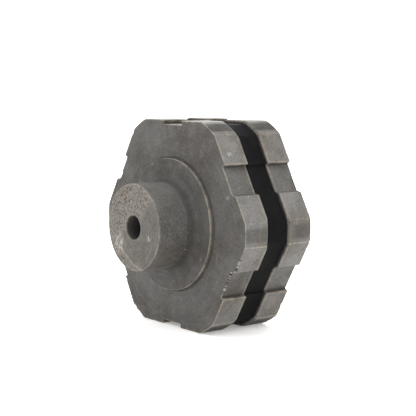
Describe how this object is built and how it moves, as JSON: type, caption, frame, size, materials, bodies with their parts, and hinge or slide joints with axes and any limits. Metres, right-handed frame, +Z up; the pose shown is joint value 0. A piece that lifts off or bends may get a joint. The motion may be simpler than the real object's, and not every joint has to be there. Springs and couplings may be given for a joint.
{
  "type": "jaw coupling",
  "caption": "Shaft coupling: two cast-iron jaw hubs with round-cornered hexagonal flanges and a black rubber element clamped between them; plain pilot bores.",
  "frame": {"origin": "on the shaft axis, midway between the inner faces of the two flanges", "axes": "+Y along the shaft axis towards the back hub, +X through the crown of a corner, +Z up when the coupling stands on its rim"},
  "size_m": [0.16, 0.1254, 0.146],
  "materials": {
    "hub_iron": "dark grey as-cast skin with rough, pitted, scratched machined faces and worn light edges",
    "element_rubber": "matt black moulded rubber"
  },
  "bodies": {
    "front_half": {"front_hub": "hub_iron"},
    "element": {"rubber_element": "element_rubber"},
    "back_half": {"back_hub": "hub_iron"}
  },
  "joints": [
    {"name": "element_twist", "type": "hinge", "parent": "front_half", "child": "element", "pos_m": [0, 0, 0], "axis": [0, 1, 0], "range_deg": [-1.4, 1.4], "stiffness_Nm_per_rad": 1500},
    {"name": "hub_draw_off", "type": "slide", "parent": "element", "child": "back_half", "axis": [0, 1, 0], "range_m": [0, 0.024]}
  ]
}
